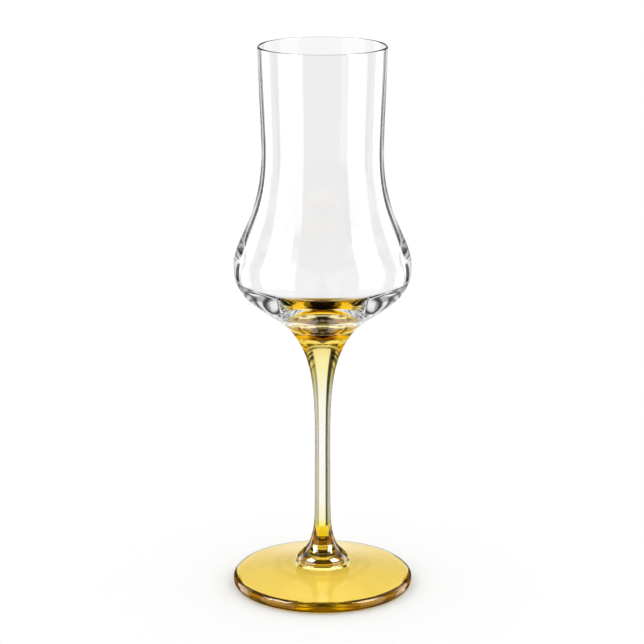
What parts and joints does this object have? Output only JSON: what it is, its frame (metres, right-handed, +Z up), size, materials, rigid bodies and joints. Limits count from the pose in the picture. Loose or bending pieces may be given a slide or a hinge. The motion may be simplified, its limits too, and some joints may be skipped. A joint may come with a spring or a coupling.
{
  "type": "stemmed whisky glass",
  "caption": "Stemmed whisky glass: clear tulip bowl with a thick base, on a slender amber stem and a round amber foot, for nosing and sipping spirits.",
  "frame": {"origin": "centre of the ring that the foot stands on, at the level of the table", "axes": "+Z up along the axis of the glass, from the foot to the rim; X and Y are level and alike, because the glass is round"},
  "size_m": [0.0694, 0.0694, 0.2102],
  "materials": {
    "clear_glass": "clear, fire-polished",
    "pale_amber_glass": "transparent pale amber, fire-polished",
    "amber_glass": "transparent golden amber, fire-polished"
  },
  "bodies": {
    "root": {"bowl": "clear_glass", "stem": "pale_amber_glass", "foot": "amber_glass"}
  },
  "joints": []
}
